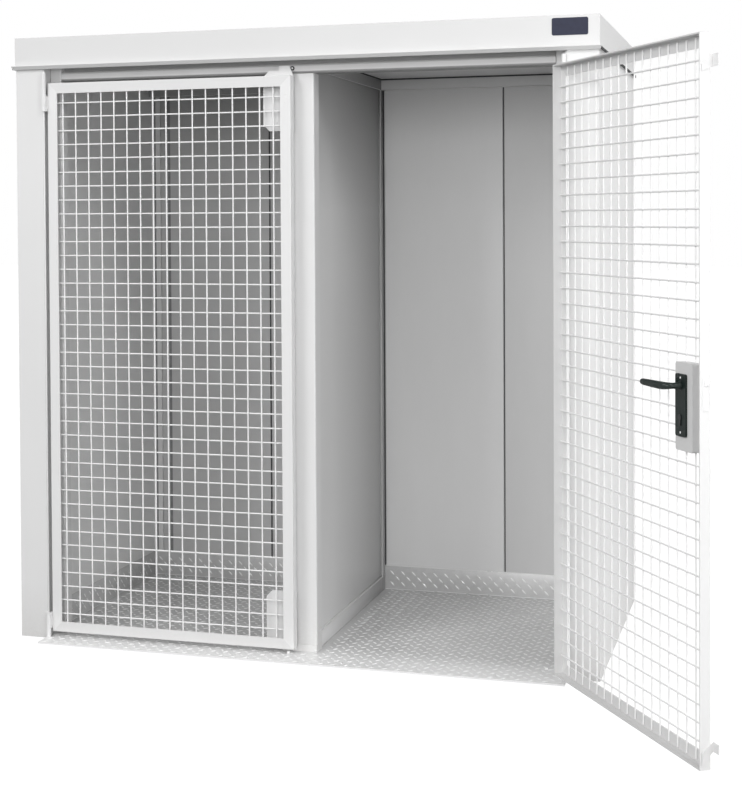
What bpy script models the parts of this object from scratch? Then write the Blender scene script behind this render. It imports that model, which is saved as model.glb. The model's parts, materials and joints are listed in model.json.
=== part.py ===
# Gas cylinder container: two bays behind wire mesh doors, under a flat lid of sheet steel.
# Metres, +Z up. The front faces -Y and the origin is on the ground, at the middle of the body.
import math

import bmesh
import bpy

# Body, over the walls and posts
BODY_W = 2.100
BODY_D = 1.090
SEAT = 0.0003

# Walls and posts
SIDE_WALL_T = 0.090
BACK_WALL_T = 0.080
FRONT_POST_W = 0.105
FRONT_POST_D = 0.085
REAR_POST_W = 0.130
POST_SHEET = 0.004
BACK_PANEL_W = 0.490
MIDDLE_SEAM_X = 0.060
BACK_SEAM = 0.004
REAR_RAIL_H = 0.044
REAR_RAIL_D = 0.025

# Door surround, which the doors close in front of
RECESS = 0.060
JAMB_W = 0.045
JAMB_D = 0.050
MULLION_W = 0.125
MULLION_D = 0.060
MULLION_FOOT_H = 0.025
MULLION_FOOT_T = 0.006
HEADER_H = 0.057
HEADER_BEAD = 0.034
HEADER_STEP = 0.025
EDGE_R = 0.005

# Partition between the bays
PARTITION_W = 0.114
PARTITION_INSET = 0.007
PARTITION_RAIL = 0.045

# Floor
FLOOR_T = 0.006
LIP_REACH = 0.080
KICK_H = 0.081
KICK_T = 0.003

# Roof lid
LID_TOP = 2.177
FASCIA_H = 0.102
LID_SHEET = 0.0025
LID_GAP = 0.0005
CEILING_OVER_LIP = 0.004
LIP_H = 0.013
LIP_FRONT = 0.018
LIP_SIDE = 0.007

# Doors, angle iron frames
DOOR_SET = 0.004
DOOR_HINGE_GAP = 0.017
DOOR_MEETING_GAP = 0.010
DOOR_FLOOR_GAP = 0.018
DOOR_HEADER_GAP = 0.010
ANGLE_FACE = 0.0375
ANGLE_DEPTH = 0.033
ANGLE_T = 0.004
ANGLE_R = 0.003
LEFT_OPEN = 0.0
RIGHT_OPEN = 123.5

# Wire mesh: every second wire is modelled
WIRE = 0.004
WIRE_PITCH = 0.050
WIRE_STEP = 2
FIRST_WIRE_IN = 0.058
FIRST_WIRE_UP = 0.066
WIRE_END = 0.010

# Hinges
HINGE_R = 0.008
HINGE_PROUD = 0.0075
HINGE_POST_TAIL = 0.020
HINGE_DOOR_TAIL = 0.026
TOP_HINGE_JOIN = 0.045
TOP_HINGE_POST_L = 0.083
BOTTOM_HINGE_JOIN = 0.013
BOTTOM_HINGE_POST_L = 0.0305
HINGE_DOOR_L = 0.057

# Catch plates behind the left door's free stile
PLATE_T = 0.004
PLATE_W = 0.110
TOP_PLATE_H = 0.189
TOP_PLATE_STEP_H = 0.0205
TOP_PLATE_HEAD_H = 0.0355
TOP_PLATE_HEAD_W = 0.052
TOP_PLATE_HEAD_SLANT = 0.014
BOTTOM_PLATE_H = 0.196
BOTTOM_PLATE_DROP = 0.009
PLATE_CHAMFER = 0.022

# Lapping tabs, welded on the right door's free edge and bent round to its front
TAB_T = 0.003
TAB_REACH = 0.031
TAB_ROOT = 0.028
TAB_JOG = 0.0052
TOP_TAB_ROOT_Z = (-0.104, -0.086)
TOP_TAB_LAP_Z = (-0.091, -0.058)
BOTTOM_TAB_ROOT_Z = (0.013, 0.049)
BOTTOM_TAB_LAP_Z = (0.050, 0.076)

# Lock
LOCK_W = 0.092
LOCK_H = 0.243
LOCK_Z = 0.877
LOCK_CORNER = 0.006
BACKSET = 0.093
SPINDLE_Z = 1.057
SPINDLE_R = 0.005
SPINDLE_PLAY = 0.0006
ROSE_W = 0.055
ROSE_H = 0.172
ROSE_T = 0.006
ROSE_OVER_SPINDLE = 0.032
LEVER_R = 0.0115
LEVER_NECK = 0.008
LEVER_REACH = 0.047
LEVER_L = 0.135
LEVER_BEND = 0.016
CYLINDER_R = 0.0085
CYLINDER_SLOT = 0.005
CYLINDER_H = 0.033
CYLINDER_DROP = 0.087
CYLINDER_PROUD = 0.003

# Planes worked out from the sizes above
HALF_W = BODY_W / 2
FRONT_Y = -BODY_D / 2
BACK_Y = BODY_D / 2
LIP_TOP = LID_TOP - FASCIA_H
CEILING_Z = LIP_TOP + CEILING_OVER_LIP
WALL_TOP = CEILING_Z - SEAT
HEADER_Z = CEILING_Z - HEADER_H
SIDE_IN = HALF_W - SIDE_WALL_T
POST_IN = HALF_W - FRONT_POST_W
REAR_POST_IN = HALF_W - REAR_POST_W
JAMB_IN = POST_IN - JAMB_W
BACK_IN = BACK_Y - BACK_WALL_T
STOP_Y = FRONT_Y + RECESS
MULLION_BACK = STOP_Y + MULLION_D
FLOOR_TOP = FLOOR_T
ON_FLOOR = FLOOR_TOP + SEAT
UNDER_HEADER = HEADER_Z - SEAT
PARTITION_X = PARTITION_W / 2
DOOR_W = POST_IN - DOOR_HINGE_GAP - DOOR_MEETING_GAP / 2
DOOR_BOTTOM = FLOOR_TOP + DOOR_FLOOR_GAP
DOOR_TOP = HEADER_Z - DOOR_HEADER_GAP
HINGE_X = POST_IN - HINGE_R
HINGE_Y = FRONT_Y - HINGE_PROUD
HINGE_EDGE = DOOR_HINGE_GAP - HINGE_R
LEAF_FACE = DOOR_SET + HINGE_PROUD
LOCK_OUT = DOOR_W - ANGLE_FACE - SEAT
LOCK_IN = LOCK_OUT - LOCK_W
LOCK_TOP = LOCK_Z + LOCK_H
SPINDLE_U = DOOR_W - BACKSET
ROUND_STEPS = 4
SIDES = {"left": -1, "right": 1}


def clear_scene():
    for thing in list(bpy.data.objects):
        bpy.data.objects.remove(thing, do_unlink=True)


def finish(name, colour, roughness, metallic):
    made = bpy.data.materials.new(name)
    made.use_nodes = True
    shader = made.node_tree.nodes["Principled BSDF"]
    shader.inputs["Base Color"].default_value = (*colour, 1.0)
    shader.inputs["Roughness"].default_value = roughness
    shader.inputs["Metallic"].default_value = metallic
    return made


def make_finishes():
    return {
        "paint": finish("outer_paint", (0.80, 0.81, 0.80), 0.45, 0.0),
        "lining": finish("wall_lining", (0.50, 0.51, 0.51), 0.50, 0.1),
        "tread": finish("tear_plate", (0.70, 0.71, 0.71), 0.35, 0.8),
        "wire": finish("mesh_paint", (0.78, 0.79, 0.78), 0.45, 0.0),
        "hinge": finish("hinge_steel", (0.72, 0.72, 0.71), 0.45, 0.3),
        "lock": finish("lock_steel", (0.68, 0.69, 0.69), 0.40, 0.3),
        "handle": finish("handle_plastic", (0.02, 0.03, 0.028), 0.35, 0.0),
    }


# Where a point goes: p and q are its place in the outline, a is how far along the sweep it is
def upright(p, q, a):
    return (p, q, a)


def across(p, q, a):
    return (a, p, q)


def leaf(side):
    """A door's own places: u from its hinge edge, z up and d back from its face."""
    def place(u, z, d):
        return (-side * (u + HINGE_EDGE), LEAF_FACE + d, z)
    return place


def leaf_bar(side, edge):
    """A frame bar's places: p in from the door's edge, q back from its face, a along the edge."""
    door = leaf(side)
    spots = {
        "hinge": lambda p, q, a: door(p, DOOR_BOTTOM + a, q),
        "free": lambda p, q, a: door(DOOR_W - p, DOOR_BOTTOM + a, q),
        "bottom": lambda p, q, a: door(a, DOOR_BOTTOM + p, q),
        "top": lambda p, q, a: door(a, DOOR_TOP - p, q),
    }
    return spots[edge]


def leaf_upright(side):
    """Places on a door for an outline of u and d that is swept up z."""
    door = leaf(side)
    return lambda u, d, z: door(u, z, d)


def box(p0, p1, q0, q1):
    return [(p0, q0), (p1, q0), (p1, q1), (p0, q1)]


def arc(centre_p, centre_q, radius, start, end, steps):
    turns = [math.radians(start + (end - start) * i / steps) for i in range(steps + 1)]
    return [(centre_p + radius * math.cos(t), centre_q + radius * math.sin(t)) for t in turns]


def rounded_box(p0, p1, q0, q1, radius):
    corners = [(p1 - radius, q0 + radius, -90), (p1 - radius, q1 - radius, 0),
               (p0 + radius, q1 - radius, 90), (p0 + radius, q0 + radius, 180)]
    points = []
    for p, q, start in corners:
        points += arc(p, q, radius, start, start + 90, ROUND_STEPS)
    return points


def store(name, bm, material, parent=None):
    bmesh.ops.recalc_face_normals(bm, faces=bm.faces)
    if bm.calc_volume(signed=True) < 0:
        bmesh.ops.reverse_faces(bm, faces=bm.faces)
    mesh = bpy.data.meshes.new(name)
    bm.to_mesh(mesh)
    bm.free()
    mesh.materials.append(material)
    made = bpy.data.objects.new(name, mesh)
    bpy.context.collection.objects.link(made)
    if parent:
        made.parent = parent
    return made


def grow(bm, start, end, place, trim):
    """Extrude the faces drawn at start up to end, and put every point in its place."""
    grown = bmesh.ops.extrude_face_region(bm, geom=list(bm.faces))["geom"]
    moved = [item for item in grown if isinstance(item, bmesh.types.BMVert)]
    bmesh.ops.translate(bm, verts=moved, vec=(0, 0, end - start))
    for vert in bm.verts:
        p, q, a = vert.co
        vert.co = place(p, q, trim(p, q, a) if trim else a)


def swept(name, outline, start, end, place, material, parent=None, trim=None):
    bm = bmesh.new()
    bm.faces.new([bm.verts.new((p, q, start)) for p, q in outline])
    grow(bm, start, end, place, trim)
    return store(name, bm, material, parent)


def tube(name, outer, inner, start, end, place, material):
    """A hollow section, from two outlines with as many points each."""
    bm = bmesh.new()
    rings = [[bm.verts.new((p, q, start)) for p, q in outline] for outline in (outer, inner)]
    for i in range(len(outer)):
        j = (i + 1) % len(outer)
        bm.faces.new((rings[0][i], rings[0][j], rings[1][j], rings[1][i]))
    grow(bm, start, end, place, None)
    return store(name, bm, material)


def square_tube(name, p0, p1, q0, q1, sheet, start, end, place, material):
    outer = box(p0, p1, q0, q1)
    inner = box(p0 + sheet, p1 - sheet, q0 + sheet, q1 - sheet)
    return tube(name, outer, inner, start, end, place, material)


def soften(made, width, segments=2):
    bevel = made.modifiers.new("Bevel", "BEVEL")
    bevel.width = width
    bevel.segments = segments
    bevel.limit_method = "ANGLE"
    bevel.use_clamp_overlap = True


def cut(made, cutter):
    boolean = made.modifiers.new("Cut", "BOOLEAN")
    boolean.operation = "DIFFERENCE"
    boolean.object = cutter


def as_cutter(made):
    made.hide_render = True
    made.display_type = "WIRE"
    return made


def smooth_sides(made):
    made.data.shade_smooth()
    made.data.set_sharp_from_angle(angle=math.radians(35))


def floor(finishes):
    wide = SIDE_IN - SEAT
    narrow = POST_IN - SEAT
    front = FRONT_Y - LIP_REACH
    shoulder = FRONT_Y + FRONT_POST_D + SEAT
    rear = BACK_IN - SEAT
    outline = [(-narrow, front), (narrow, front), (narrow, shoulder), (wide, shoulder),
               (wide, rear), (-wide, rear), (-wide, shoulder), (-narrow, shoulder)]
    swept("floor_plate", outline, 0.0, FLOOR_T, upright, finishes["tread"])


def kick_plate(name, side, finishes):
    """The floor's upturned edge round three sides of a bay."""
    wall = side * (SIDE_IN - SEAT)
    middle = side * (PARTITION_X + SEAT)
    front = max(FRONT_Y + FRONT_POST_D, MULLION_BACK) + SEAT
    rear = BACK_IN - SEAT
    sheet = side * KICK_T
    outline = [(wall, front), (wall, rear), (middle, rear), (middle, front), (middle + sheet, front),
               (middle + sheet, rear - KICK_T), (wall - sheet, rear - KICK_T), (wall - sheet, front)]
    swept(name, outline, ON_FLOOR, ON_FLOOR + KICK_H, upright, finishes["tread"])


def front_post(name, side, finishes):
    low, high = sorted((side * POST_IN, side * HALF_W))
    post = square_tube(name, low, high, FRONT_Y, FRONT_Y + FRONT_POST_D, POST_SHEET, 0.0, WALL_TOP,
                       upright, finishes["paint"])
    return post


def rear_post(name, side, finishes):
    low, high = sorted((side * REAR_POST_IN, side * HALF_W))
    return square_tube(name, low, high, BACK_IN, BACK_Y, POST_SHEET, 0.0, WALL_TOP, upright,
                       finishes["paint"])


def side_wall(name, side, finishes):
    low, high = sorted((side * SIDE_IN, side * HALF_W))
    front = FRONT_Y + FRONT_POST_D + SEAT
    return swept(name, box(low, high, front, BACK_IN - SEAT), 0.0, WALL_TOP, upright, finishes["paint"])


def back_panels(finishes):
    """Wall cassettes with turned-in edges: two meet behind the partition, and the outer two are cut to fit."""
    outer = REAR_POST_IN - SEAT / 2
    seams = [-outer, MIDDLE_SEAM_X - BACK_PANEL_W, MIDDLE_SEAM_X, MIDDLE_SEAM_X + BACK_PANEL_W, outer]
    for index in range(len(seams) - 1):
        left = seams[index] + SEAT / 2
        right = seams[index + 1] - SEAT / 2
        outline = [(left, BACK_IN + BACK_SEAM), (left + BACK_SEAM, BACK_IN), (right - BACK_SEAM, BACK_IN),
                   (right, BACK_IN + BACK_SEAM), (right, BACK_Y - BACK_SEAM), (right - BACK_SEAM, BACK_Y),
                   (left + BACK_SEAM, BACK_Y), (left, BACK_Y - BACK_SEAM)]
        swept(f"back_panel_{index + 1}", outline, 0.0, WALL_TOP, upright, finishes["lining"])


def rear_top_rail(finishes):
    outline = box(BACK_IN - SEAT - REAR_RAIL_D, BACK_IN - SEAT, WALL_TOP - REAR_RAIL_H, WALL_TOP)
    for name, side in SIDES.items():
        low, high = sorted((side * (PARTITION_X + SEAT), side * (SIDE_IN - SEAT)))
        swept(f"{name}_rear_top_rail", outline, low, high, across, finishes["lining"])


def jamb(name, side, finishes):
    low, high = sorted((side * JAMB_IN, side * (POST_IN - SEAT)))
    made = swept(name, box(low, high, STOP_Y, STOP_Y + JAMB_D), ON_FLOOR, WALL_TOP, upright, finishes["paint"])
    soften(made, EDGE_R)


def mullion(finishes):
    outline = rounded_box(-MULLION_W / 2, MULLION_W / 2, STOP_Y, MULLION_BACK, EDGE_R)
    swept("mullion", outline, ON_FLOOR, UNDER_HEADER, upright, finishes["paint"])
    front = STOP_Y - SEAT - MULLION_FOOT_T
    foot = box(-MULLION_W / 2, MULLION_W / 2, front, STOP_Y - SEAT)
    swept("mullion_foot", foot, ON_FLOOR, ON_FLOOR + MULLION_FOOT_H, upright, finishes["paint"])


def header(finishes):
    """A rounded bead from jamb to jamb over the doors, with a strip set back above it."""
    bead_top = HEADER_Z + HEADER_BEAD
    strip = STOP_Y + HEADER_STEP
    outline = [(MULLION_BACK, HEADER_Z), (MULLION_BACK, WALL_TOP), (strip, WALL_TOP), (strip, bead_top)]
    outline += arc(STOP_Y + EDGE_R, bead_top - EDGE_R, EDGE_R, 90, 180, ROUND_STEPS)
    outline += arc(STOP_Y + EDGE_R, HEADER_Z + EDGE_R, EDGE_R, 180, 270, ROUND_STEPS)
    swept("header", outline, -JAMB_IN + SEAT, JAMB_IN - SEAT, across, finishes["paint"])


def partition(finishes):
    front = MULLION_BACK + SEAT
    rear = BACK_IN - SEAT
    stile = rear - PARTITION_RAIL
    rail = WALL_TOP - PARTITION_RAIL
    inset = PARTITION_X - PARTITION_INSET
    material = finishes["lining"]
    swept("partition_panel", box(-inset, inset, front, stile - SEAT), ON_FLOOR, rail - SEAT, upright, material)
    swept("partition_rear_stile", box(-PARTITION_X, PARTITION_X, stile, rear), ON_FLOOR, rail - SEAT,
          upright, material)
    swept("partition_top_rail", box(-PARTITION_X, PARTITION_X, front, rear), rail, WALL_TOP, upright, material)


def partition_base(finishes):
    """The partition's bottom rail, which the kick plates stand against."""
    front = MULLION_BACK + SEAT
    stile = BACK_IN - SEAT - PARTITION_RAIL - SEAT
    inset = PARTITION_X - PARTITION_INSET + SEAT
    for name, side in SIDES.items():
        low, high = sorted((side * inset, side * PARTITION_X))
        swept(f"partition_{name}_skirt", box(low, high, front, stile), ON_FLOOR, ON_FLOOR + KICK_H, upright,
              finishes["lining"])


def roof_lid(finishes):
    """Sheet steel lid over the walls, with a band turned out round its rim."""
    inner_x = HALF_W + LID_GAP
    inner_y = BACK_Y + LID_GAP
    outer_x = inner_x + LID_SHEET
    outer_y = inner_y + LID_SHEET
    rim = LIP_TOP - LIP_H
    loops = [(inner_x, inner_y, LID_TOP - LID_SHEET), (inner_x, inner_y, rim),
             (outer_x + LIP_SIDE, outer_y + LIP_FRONT, rim), (outer_x + LIP_SIDE, outer_y + LIP_FRONT, LIP_TOP),
             (outer_x, outer_y, LIP_TOP), (outer_x, outer_y, LID_TOP)]
    bm = bmesh.new()
    corners = [(-1, -1), (1, -1), (1, 1), (-1, 1)]
    half_x, half_y, z = loops[0]
    ring = [bm.verts.new((i * half_x, j * half_y, z)) for i, j in corners]
    bm.faces.new(ring)
    edges = list(bm.edges)
    for half_x, half_y, z in loops[1:]:
        grown = bmesh.ops.extrude_edge_only(bm, edges=edges)["geom"]
        edges = [item for item in grown if isinstance(item, bmesh.types.BMEdge)]
        for vert in [item for item in grown if isinstance(item, bmesh.types.BMVert)]:
            vert.co = (math.copysign(half_x, vert.co.x), math.copysign(half_y, vert.co.y), z)
    bmesh.ops.contextual_create(bm, geom=edges)
    store("roof_lid", bm, finishes["paint"])


def ceiling(finishes):
    swept("ceiling_panel", box(-HALF_W, HALF_W, FRONT_Y, BACK_Y), CEILING_Z, LID_TOP - LID_SHEET - SEAT, upright,
          finishes["lining"])


def hinge_outline(side, wall, tail, seat_side):
    """A pin barrel with a tail behind it that is welded to the piece beside it."""
    reach = min(wall - SEAT, HINGE_R)
    low = math.degrees(math.acos(reach / HINGE_R))
    points = arc(0, 0, HINGE_R, 90, 360 - low, 4 * ROUND_STEPS)
    points += [(wall - SEAT, -HINGE_R * math.sin(math.radians(low))), (wall - SEAT, tail), (0, tail)]
    if low > 0:
        points.pop(4 * ROUND_STEPS)
    return [(seat_side * side * x, y) for x, y in points]


def hinge_half(name, side, on_door, low, high, finishes, pivot=None):
    wall = HINGE_EDGE if on_door else HINGE_R
    tail = HINGE_DOOR_TAIL if on_door else HINGE_POST_TAIL
    outline = hinge_outline(side, wall, tail, -1 if on_door else 1)
    if pivot:
        place = upright
    else:
        def place(x, y, z):
            return (side * HINGE_X + x, HINGE_Y + y, z)
    made = swept(name, outline, low, high, place, finishes["hinge"], pivot)
    smooth_sides(made)


def hinges(name, side, pivot, finishes):
    top = DOOR_TOP - TOP_HINGE_JOIN
    bottom = DOOR_BOTTOM + BOTTOM_HINGE_JOIN
    hinge_half(f"{name}_top_hinge_post_half", side, False, top + SEAT, top + TOP_HINGE_POST_L, finishes)
    hinge_half(f"{name}_top_hinge_door_half", side, True, top - HINGE_DOOR_L, top, finishes, pivot)
    hinge_half(f"{name}_bottom_hinge_post_half", side, False, bottom - SEAT - BOTTOM_HINGE_POST_L,
               bottom - SEAT, finishes)
    hinge_half(f"{name}_bottom_hinge_door_half", side, True, bottom, bottom + HINGE_DOOR_L, finishes, pivot)


def door_frame(name, side, pivot, finishes):
    """Four lengths of angle iron, mitred at the corners."""
    angle = arc(ANGLE_R, ANGLE_R, ANGLE_R, 180, 270, ROUND_STEPS)
    angle += [(ANGLE_FACE, 0), (ANGLE_FACE, ANGLE_T), (ANGLE_T, ANGLE_T), (ANGLE_T, ANGLE_DEPTH), (0, ANGLE_DEPTH)]
    lengths = {"hinge": DOOR_TOP - DOOR_BOTTOM, "free": DOOR_TOP - DOOR_BOTTOM, "bottom": DOOR_W, "top": DOOR_W}
    parts = {"hinge": "hinge_stile", "free": "free_stile", "bottom": "bottom_rail", "top": "top_rail"}
    for edge, length in lengths.items():
        def mitre(p, q, a, length=length):
            return min(max(a, p + SEAT), length - p - SEAT)
        swept(f"{name}_door_{parts[edge]}", angle, 0.0, length, leaf_bar(side, edge), finishes["paint"], pivot,
              mitre)


def wire_mesh(name, side, pivot, finishes):
    """Wires that lie behind the frame's face, as one lattice fused where they cross."""
    pitch = WIRE_PITCH * WIRE_STEP
    reach_u = DOOR_W - WIRE_END
    reach_z = DOOR_TOP - WIRE_END
    columns = wire_centres(FIRST_WIRE_IN, DOOR_W - ANGLE_FACE, pitch)
    rows = wire_centres(DOOR_BOTTOM + FIRST_WIRE_UP, DOOR_TOP - ANGLE_FACE, pitch)
    us = wire_edges(WIRE_END, reach_u, columns)
    zs = wire_edges(DOOR_BOTTOM + WIRE_END, reach_z, rows)
    start = ANGLE_T + SEAT
    bm = bmesh.new()
    verts = {}
    for i in range(len(us) - 1):
        for j in range(len(zs) - 1):
            if i % 2 == 0 and j % 2 == 0:
                continue
            corners = [(i, j), (i + 1, j), (i + 1, j + 1), (i, j + 1)]
            for spot in corners:
                if spot not in verts:
                    verts[spot] = bm.verts.new((us[spot[0]], zs[spot[1]], start))
            bm.faces.new([verts[spot] for spot in corners])
    grow(bm, start, start + WIRE, leaf(side), None)
    return store(f"{name}_door_mesh", bm, finishes["wire"], pivot)


def wire_centres(first, limit, pitch):
    count = int((limit - first) / pitch) + 1
    return [first + i * pitch for i in range(count)]


def wire_edges(low, high, centres):
    edges = [low]
    for centre in centres:
        edges += [centre - WIRE / 2, centre + WIRE / 2]
    return edges + [high]


def catch_plates(pivot, finishes):
    """Plates behind the left door's free stile, which stop against the header and the floor."""
    place = leaf(-1)
    inner = DOOR_W - PLATE_W
    head_in = DOOR_W - TOP_PLATE_HEAD_W
    head = DOOR_TOP + TOP_PLATE_HEAD_H
    step = DOOR_TOP + TOP_PLATE_STEP_H
    foot = DOOR_TOP - TOP_PLATE_H
    start = ANGLE_DEPTH + SEAT
    top = [(inner + PLATE_CHAMFER, foot), (DOOR_W, foot), (DOOR_W, DOOR_TOP), (DOOR_W - TOP_PLATE_HEAD_SLANT, head),
           (head_in, head), (head_in, step), (inner + PLATE_CHAMFER, step), (inner, step - PLATE_CHAMFER),
           (inner, foot + PLATE_CHAMFER)]
    swept("left_door_top_catch_plate", top, start, start + PLATE_T, place, finishes["paint"], pivot)
    low = DOOR_BOTTOM - BOTTOM_PLATE_DROP
    high = DOOR_BOTTOM + BOTTOM_PLATE_H
    bottom = [(inner, low), (DOOR_W, low), (DOOR_W, high), (inner + PLATE_CHAMFER, high),
              (inner, high - PLATE_CHAMFER)]
    swept("left_door_bottom_catch_plate", bottom, start, start + PLATE_T, place, finishes["paint"], pivot)


def lap_tab(name, base, root_z, lap_z, pivot, finishes):
    """A plate that rises along the free edge and is bent at the front to lap over the left door."""
    near = DOOR_W + SEAT
    tip = DOOR_W + TAB_REACH
    outline = [(near, TAB_ROOT), (near + TAB_T, TAB_ROOT), (near + TAB_T, -TAB_JOG), (tip, -TAB_JOG),
               (tip, -TAB_JOG - TAB_T), (near, -TAB_JOG - TAB_T)]

    def slope(u, d, end):
        edge = 0 if end < 0.5 else 1
        return base + (root_z[edge] if d > 0 else lap_z[edge])
    swept(name, outline, 0.0, 1.0, leaf_upright(1), finishes["paint"], pivot, slope)


def spindle_cutter(pivot):
    place = leaf(1)
    hole = arc(SPINDLE_U, SPINDLE_Z, SPINDLE_R + SPINDLE_PLAY, 0, 360, 16)[:-1]
    reach = ANGLE_DEPTH + 2 * ROSE_T
    return as_cutter(swept("spindle_hole", hole, -2 * ROSE_T, reach, place, None, pivot))


def cylinder_outline(play):
    """The keyhole shape of a profile cylinder: a round head over a narrow slot."""
    z = SPINDLE_Z - CYLINDER_DROP
    half = CYLINDER_SLOT + play
    radius = CYLINDER_R + play
    side = math.degrees(math.acos(half / radius))
    points = arc(SPINDLE_U, z, radius, -side, 180 + side, 3 * ROUND_STEPS)
    foot = z + CYLINDER_R - CYLINDER_H
    points += arc(SPINDLE_U, foot + CYLINDER_SLOT, half, 180, 360, ROUND_STEPS)
    return points


def lock(pivot, finishes):
    place = leaf(1)
    spindle = spindle_cutter(pivot)
    keyway = as_cutter(swept("keyway", cylinder_outline(SEAT), -2 * ROSE_T, ANGLE_DEPTH + 2 * ROSE_T, place, None,
                             pivot))
    case = swept("lock_box", rounded_box(LOCK_IN, LOCK_OUT, LOCK_Z, LOCK_TOP, LOCK_CORNER), 0.0, ANGLE_DEPTH,
                 place, finishes["lock"], pivot)
    rose_top = SPINDLE_Z + ROSE_OVER_SPINDLE
    plate = rounded_box(SPINDLE_U - ROSE_W / 2, SPINDLE_U + ROSE_W / 2, rose_top - ROSE_H, rose_top,
                        ROSE_T)
    inner = swept("inner_handle_plate", plate, ANGLE_DEPTH + SEAT, ANGLE_DEPTH + SEAT + ROSE_T, place,
                  finishes["handle"], pivot)
    outer = swept("outer_handle_plate", plate, -SEAT - ROSE_T, -SEAT, place, finishes["handle"], pivot)
    for made in (case, inner, outer):
        cut(made, spindle)
        cut(made, keyway)
    proud = ROSE_T + SEAT + CYLINDER_PROUD
    swept("lock_cylinder", cylinder_outline(0.0), -proud, ANGLE_DEPTH + proud, place, finishes["lock"], pivot)


def mesh_cutout(pivot):
    """The mesh stops short of the lock case."""
    room = box(LOCK_IN - SEAT, DOOR_W, LOCK_Z - SEAT, LOCK_TOP + SEAT)
    return as_cutter(swept("lock_room", room, -ANGLE_T, ANGLE_DEPTH, leaf(1), None, pivot))


def lever(pivot, finishes):
    """One bent bar: a grip outside, the spindle through the door and a grip inside."""
    knob = bpy.data.objects.new("spindle_pivot", None)
    bpy.context.collection.objects.link(knob)
    knob.parent = pivot
    knob.location = leaf(1)(SPINDLE_U, SPINDLE_Z, 0.0)
    inside = ANGLE_DEPTH + SEAT + ROSE_T
    outside = -SEAT - ROSE_T
    grips = [inside + LEVER_REACH, outside - LEVER_REACH]
    turn = [(grips[1] + LEVER_BEND, 180, 270), (grips[0] - LEVER_BEND, 90, 180)]
    path = [((LEVER_L, grips[1]), LEVER_NECK), ((LEVER_L - LEVER_NECK, grips[1]), LEVER_R)]
    for x, y in reversed(arc(LEVER_BEND, turn[0][0], LEVER_BEND, 180, 270, ROUND_STEPS)):
        path.append(((x, y), LEVER_NECK))
    path += [((0, outside - SPINDLE_PLAY), LEVER_NECK), ((0, outside - SPINDLE_PLAY / 2), SPINDLE_R)]
    path += [((0, inside + SPINDLE_PLAY / 2), SPINDLE_R), ((0, inside + SPINDLE_PLAY), LEVER_NECK)]
    for x, y in reversed(arc(LEVER_BEND, turn[1][0], LEVER_BEND, 90, 180, ROUND_STEPS)):
        path.append(((x, y), LEVER_NECK))
    path += [((LEVER_L - LEVER_NECK, grips[0]), LEVER_R), ((LEVER_L, grips[0]), LEVER_NECK)]
    curve = bpy.data.curves.new("lever_handle", "CURVE")
    curve.dimensions = "3D"
    curve.bevel_depth = 1.0
    curve.bevel_resolution = 3
    curve.use_fill_caps = True
    spline = curve.splines.new("POLY")
    spline.points.add(len(path) - 1)
    for point, ((x, y), radius) in zip(spline.points, path):
        point.co = (x, y, 0, 1)
        point.radius = radius
    curve.materials.append(finishes["handle"])
    made = bpy.data.objects.new("lever_handle", curve)
    bpy.context.collection.objects.link(made)
    made.parent = knob


def door(name, side, opened, finishes):
    """Hang a door on an empty that stands on its hinge axis."""
    pivot = bpy.data.objects.new(f"{name}_door_pivot", None)
    bpy.context.collection.objects.link(pivot)
    pivot.location = (side * HINGE_X, HINGE_Y, 0)
    pivot.rotation_euler.z = side * math.radians(opened)
    door_frame(name, side, pivot, finishes)
    mesh = wire_mesh(name, side, pivot, finishes)
    hinges(name, side, pivot, finishes)
    if name == "left":
        catch_plates(pivot, finishes)
    else:
        cut(mesh, mesh_cutout(pivot))
        lap_tab("right_door_top_tab", DOOR_TOP, TOP_TAB_ROOT_Z, TOP_TAB_LAP_Z, pivot, finishes)
        lap_tab("right_door_bottom_tab", DOOR_BOTTOM, BOTTOM_TAB_ROOT_Z, BOTTOM_TAB_LAP_Z, pivot, finishes)
        lock(pivot, finishes)
        lever(pivot, finishes)


def main():
    clear_scene()
    finishes = make_finishes()
    floor(finishes)
    for name, side in SIDES.items():
        kick_plate(f"{name}_kick_plate", side, finishes)
        front_post(f"{name}_front_post", side, finishes)
        rear_post(f"{name}_rear_post", side, finishes)
        side_wall(f"{name}_side_wall", side, finishes)
        jamb(f"{name}_jamb", side, finishes)
    back_panels(finishes)
    rear_top_rail(finishes)
    mullion(finishes)
    header(finishes)
    partition(finishes)
    partition_base(finishes)
    ceiling(finishes)
    roof_lid(finishes)
    door("left", SIDES["left"], LEFT_OPEN, finishes)
    door("right", SIDES["right"], RIGHT_OPEN, finishes)


main()
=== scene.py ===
# Gas cylinder container: finishes, welded wire, tear plate, fittings, studio and camera
import json
import math

import bmesh
import bpy
from mathutils import Matrix, Vector


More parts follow.
